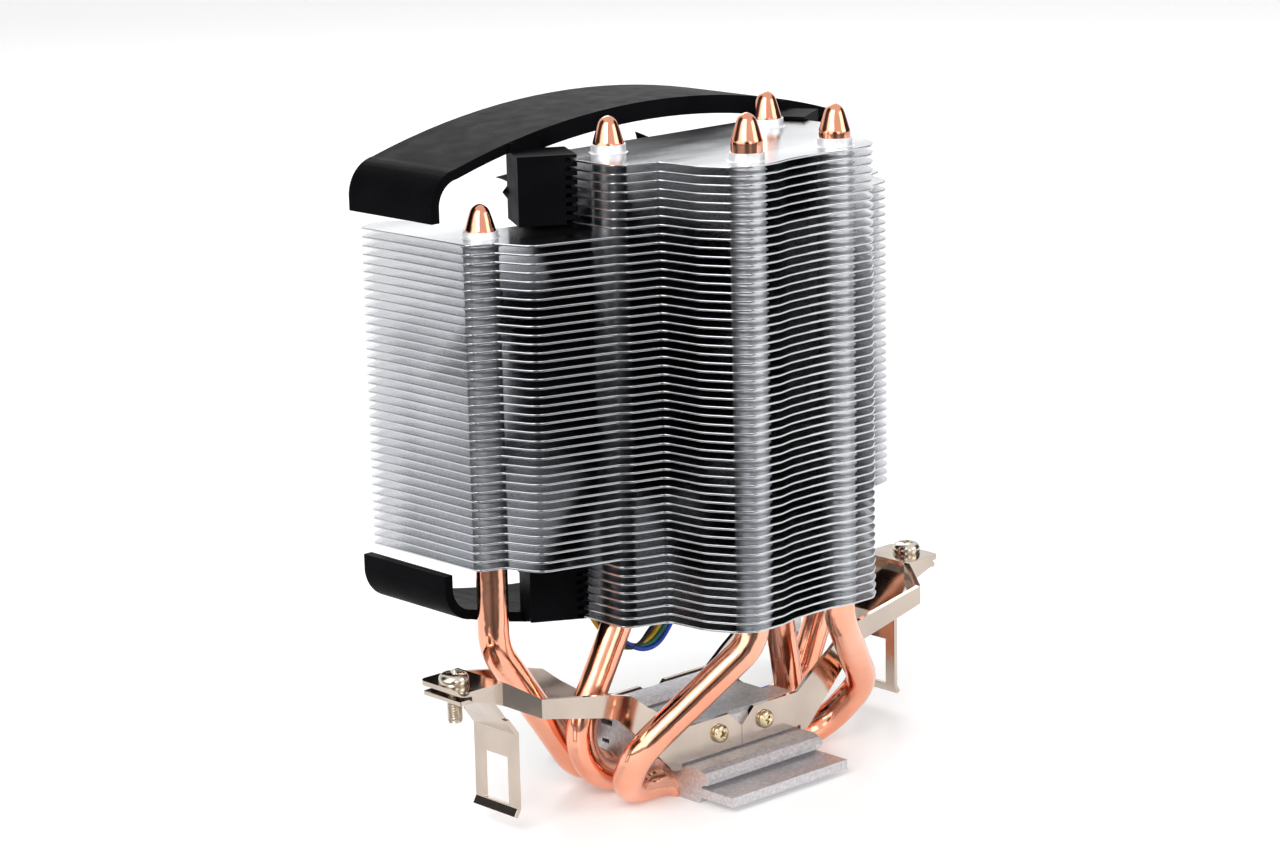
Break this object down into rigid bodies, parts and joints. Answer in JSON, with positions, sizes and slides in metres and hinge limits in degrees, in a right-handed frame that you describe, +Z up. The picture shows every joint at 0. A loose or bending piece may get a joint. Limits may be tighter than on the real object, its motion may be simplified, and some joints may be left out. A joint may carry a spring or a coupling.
{
  "type": "cpu tower cooler",
  "caption": "Processor tower cooler: fins on U-shaped copper heat pipes, an open fan in a moulded comb frame, and screw-tightened clip arms on a direct-contact base.",
  "frame": {"origin": "middle of the base's contact face", "axes": "+Z up away from the processor, +Y towards the fan, X along the base and the clip arms"},
  "size_m": [0.1292, 0.0775, 0.1343],
  "materials": {
    "copper": "polished copper tube",
    "fin_aluminium": "bright rolled sheet",
    "base_aluminium": "bead-blasted extrusion",
    "nickel_sheet": "nickel plated",
    "screw_steel": "nickel plated",
    "black_plastic": "satin moulding",
    "impeller_plastic": "satin moulding",
    "circuit_board": "solder mask",
    "lamination_steel": "stamped stack",
    "winding_copper": "enamelled wire",
    "bronze": "sintered",
    "shaft_steel": "ground",
    "yoke_steel": "drawn",
    "ferrite": "bonded ferrite",
    "wire_insulation": "soft insulation, four colours",
    "connector_plastic": "nylon housing"
  },
  "bodies": {
    "root": {"heat_pipe_front": "copper", "heat_pipe_middle": "copper", "heat_pipe_rear": "copper", "fins_top": "fin_aluminium", "fins_wide": "fin_aluminium", "fins_bottom": "fin_aluminium", "base_block": "base_aluminium", "clip_arm_left": "nickel_sheet", "clip_arm_right": "nickel_sheet", "arm_screws": "screw_steel", "fan_frame": "black_plastic", "motor_pcb": "circuit_board", "stator_core": "lamination_steel", "stator_coils": "winding_copper", "bearing_sleeve": "bronze", "fan_lead": "wire_insulation", "fan_lead_hank": "wire_insulation", "fan_lead_tail": "wire_insulation", "fan_connector": "connector_plastic"},
    "rotor": {"impeller": "impeller_plastic", "rotor_yoke": "yoke_steel", "magnet_ring": "ferrite", "rotor_shaft": "shaft_steel", "retaining_clip": "shaft_steel"},
    "screw_left": {"tension_screw_left": "screw_steel"},
    "screw_right": {"tension_screw_right": "screw_steel"},
    "hook_left": {"hook_plate_left": "nickel_sheet"},
    "hook_right": {"hook_plate_right": "nickel_sheet"}
  },
  "joints": [
    {"name": "fan_spin", "type": "hinge", "parent": "root", "child": "rotor", "pos_m": [0, 0.02, 0.0818], "axis": [0, 1, 0], "continuous": true},
    {"name": "left_screw_turn", "type": "hinge", "parent": "root", "child": "screw_left", "pos_m": [-0.0615, 0, 0.0312], "axis": [0, 0, 1], "range_deg": [-577, 2161]},
    {"name": "left_hook_travel", "type": "slide", "parent": "root", "child": "hook_left", "axis": [0, 0, -1], "range_m": [-0.0008, 0.003]},
    {"name": "right_screw_turn", "type": "hinge", "parent": "root", "child": "screw_right", "pos_m": [0.0615, 0, 0.0312], "axis": [0, 0, 1], "range_deg": [-577, 2161]},
    {"name": "right_hook_travel", "type": "slide", "parent": "root", "child": "hook_right", "axis": [0, 0, -1], "range_m": [-0.0008, 0.003]}
  ],
  "couplings": [
    {"joint": "left_screw_turn", "follows": "left_hook_travel", "rad_per_m": 12566},
    {"joint": "right_screw_turn", "follows": "right_hook_travel", "rad_per_m": 12566}
  ]
}
